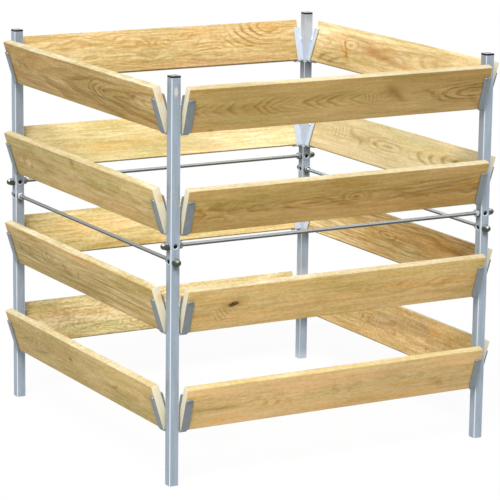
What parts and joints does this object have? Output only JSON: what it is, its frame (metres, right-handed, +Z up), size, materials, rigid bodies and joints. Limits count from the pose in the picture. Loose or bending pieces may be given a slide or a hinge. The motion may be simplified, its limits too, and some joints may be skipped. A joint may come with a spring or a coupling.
{
  "type": "compost bin",
  "caption": "Square slatted compost bin: steel corner posts with bent hooks, outward tilted timber boards that lift out, and threaded tie rods at mid height.",
  "frame": {"origin": "centre of the four posts' square, on the ground", "axes": "+Z up; -Y is the front side; the four sides are alike apart from the height of their tie rods"},
  "size_m": [0.985, 0.985, 1.0033],
  "materials": {
    "galvanised_steel": "matt hot-dip galvanised, light blue-grey",
    "black_plastic": "satin moulded",
    "planed_pine": "planed softwood, pressure treated, knots and growth rings showing",
    "zinc_plated_rod": "bright zinc plated",
    "zinc_plated_nut": "bright zinc plated",
    "zinc_plated_cap_nut": "bright zinc plated",
    "zinc_plated_washer": "bright zinc plated"
  },
  "bodies": {
    "frame": {"post_front_left": "galvanised_steel", "cap_front_left": "black_plastic", "rod_front": "zinc_plated_rod", "washer_outer_front_a": "zinc_plated_washer", "washer_inner_front_a": "zinc_plated_washer", "cap_nut_front_a": "zinc_plated_cap_nut", "nut_front_a": "zinc_plated_nut", "washer_outer_front_b": "zinc_plated_washer", "washer_inner_front_b": "zinc_plated_washer", "cap_nut_front_b": "zinc_plated_cap_nut", "nut_front_b": "zinc_plated_nut", "post_front_right": "galvanised_steel", "cap_front_right": "black_plastic", "rod_right": "zinc_plated_rod", "washer_outer_right_a": "zinc_plated_washer", "washer_inner_right_a": "zinc_plated_washer", "cap_nut_right_a": "zinc_plated_cap_nut", "nut_right_a": "zinc_plated_nut", "washer_outer_right_b": "zinc_plated_washer", "washer_inner_right_b": "zinc_plated_washer", "cap_nut_right_b": "zinc_plated_cap_nut", "nut_right_b": "zinc_plated_nut", "post_rear_right": "galvanised_steel", "cap_rear_right": "black_plastic", "rod_rear": "zinc_plated_rod", "washer_outer_rear_a": "zinc_plated_washer", "washer_inner_rear_a": "zinc_plated_washer", "cap_nut_rear_a": "zinc_plated_cap_nut", "nut_rear_a": "zinc_plated_nut", "washer_outer_rear_b": "zinc_plated_washer", "washer_inner_rear_b": "zinc_plated_washer", "cap_nut_rear_b": "zinc_plated_cap_nut", "nut_rear_b": "zinc_plated_nut", "post_rear_left": "galvanised_steel", "cap_rear_left": "black_plastic", "rod_left": "zinc_plated_rod", "washer_outer_left_a": "zinc_plated_washer", "washer_inner_left_a": "zinc_plated_washer", "cap_nut_left_a": "zinc_plated_cap_nut", "nut_left_a": "zinc_plated_nut", "washer_outer_left_b": "zinc_plated_washer", "washer_inner_left_b": "zinc_plated_washer", "cap_nut_left_b": "zinc_plated_cap_nut", "nut_left_b": "zinc_plated_nut"},
    "board_front_1": {"board_front_1": "planed_pine"},
    "board_front_2": {"board_front_2": "planed_pine"},
    "board_front_3": {"board_front_3": "planed_pine"},
    "board_front_4": {"board_front_4": "planed_pine"},
    "board_right_1": {"board_right_1": "planed_pine"},
    "board_right_2": {"board_right_2": "planed_pine"},
    "board_right_3": {"board_right_3": "planed_pine"},
    "board_right_4": {"board_right_4": "planed_pine"},
    "board_rear_1": {"board_rear_1": "planed_pine"},
    "board_rear_2": {"board_rear_2": "planed_pine"},
    "board_rear_3": {"board_rear_3": "planed_pine"},
    "board_rear_4": {"board_rear_4": "planed_pine"},
    "board_left_1": {"board_left_1": "planed_pine"},
    "board_left_2": {"board_left_2": "planed_pine"},
    "board_left_3": {"board_left_3": "planed_pine"},
    "board_left_4": {"board_left_4": "planed_pine"}
  },
  "joints": [
    {"name": "lift_front_1", "type": "slide", "parent": "frame", "child": "board_front_1", "axis": [0, -0.2924, 0.9563], "range_m": [0, 0.12]},
    {"name": "lift_front_2", "type": "slide", "parent": "frame", "child": "board_front_2", "axis": [0, -0.2924, 0.9563], "range_m": [0, 0.12]},
    {"name": "lift_front_3", "type": "slide", "parent": "frame", "child": "board_front_3", "axis": [0, -0.2924, 0.9563], "range_m": [0, 0.12]},
    {"name": "lift_front_4", "type": "slide", "parent": "frame", "child": "board_front_4", "axis": [0, -0.2924, 0.9563], "range_m": [0, 0.12]},
    {"name": "lift_right_1", "type": "slide", "parent": "frame", "child": "board_right_1", "axis": [0.2924, 0, 0.9563], "range_m": [0, 0.12]},
    {"name": "lift_right_2", "type": "slide", "parent": "frame", "child": "board_right_2", "axis": [0.2924, 0, 0.9563], "range_m": [0, 0.12]},
    {"name": "lift_right_3", "type": "slide", "parent": "frame", "child": "board_right_3", "axis": [0.2924, 0, 0.9563], "range_m": [0, 0.12]},
    {"name": "lift_right_4", "type": "slide", "parent": "frame", "child": "board_right_4", "axis": [0.2924, 0, 0.9563], "range_m": [0, 0.12]},
    {"name": "lift_rear_1", "type": "slide", "parent": "frame", "child": "board_rear_1", "axis": [0, 0.2924, 0.9563], "range_m": [0, 0.12]},
    {"name": "lift_rear_2", "type": "slide", "parent": "frame", "child": "board_rear_2", "axis": [0, 0.2924, 0.9563], "range_m": [0, 0.12]},
    {"name": "lift_rear_3", "type": "slide", "parent": "frame", "child": "board_rear_3", "axis": [0, 0.2924, 0.9563], "range_m": [0, 0.12]},
    {"name": "lift_rear_4", "type": "slide", "parent": "frame", "child": "board_rear_4", "axis": [0, 0.2924, 0.9563], "range_m": [0, 0.12]},
    {"name": "lift_left_1", "type": "slide", "parent": "frame", "child": "board_left_1", "axis": [-0.2924, 0, 0.9563], "range_m": [0, 0.12]},
    {"name": "lift_left_2", "type": "slide", "parent": "frame", "child": "board_left_2", "axis": [-0.2924, 0, 0.9563], "range_m": [0, 0.12]},
    {"name": "lift_left_3", "type": "slide", "parent": "frame", "child": "board_left_3", "axis": [-0.2924, 0, 0.9563], "range_m": [0, 0.12]},
    {"name": "lift_left_4", "type": "slide", "parent": "frame", "child": "board_left_4", "axis": [-0.2924, 0, 0.9563], "range_m": [0, 0.12]}
  ]
}
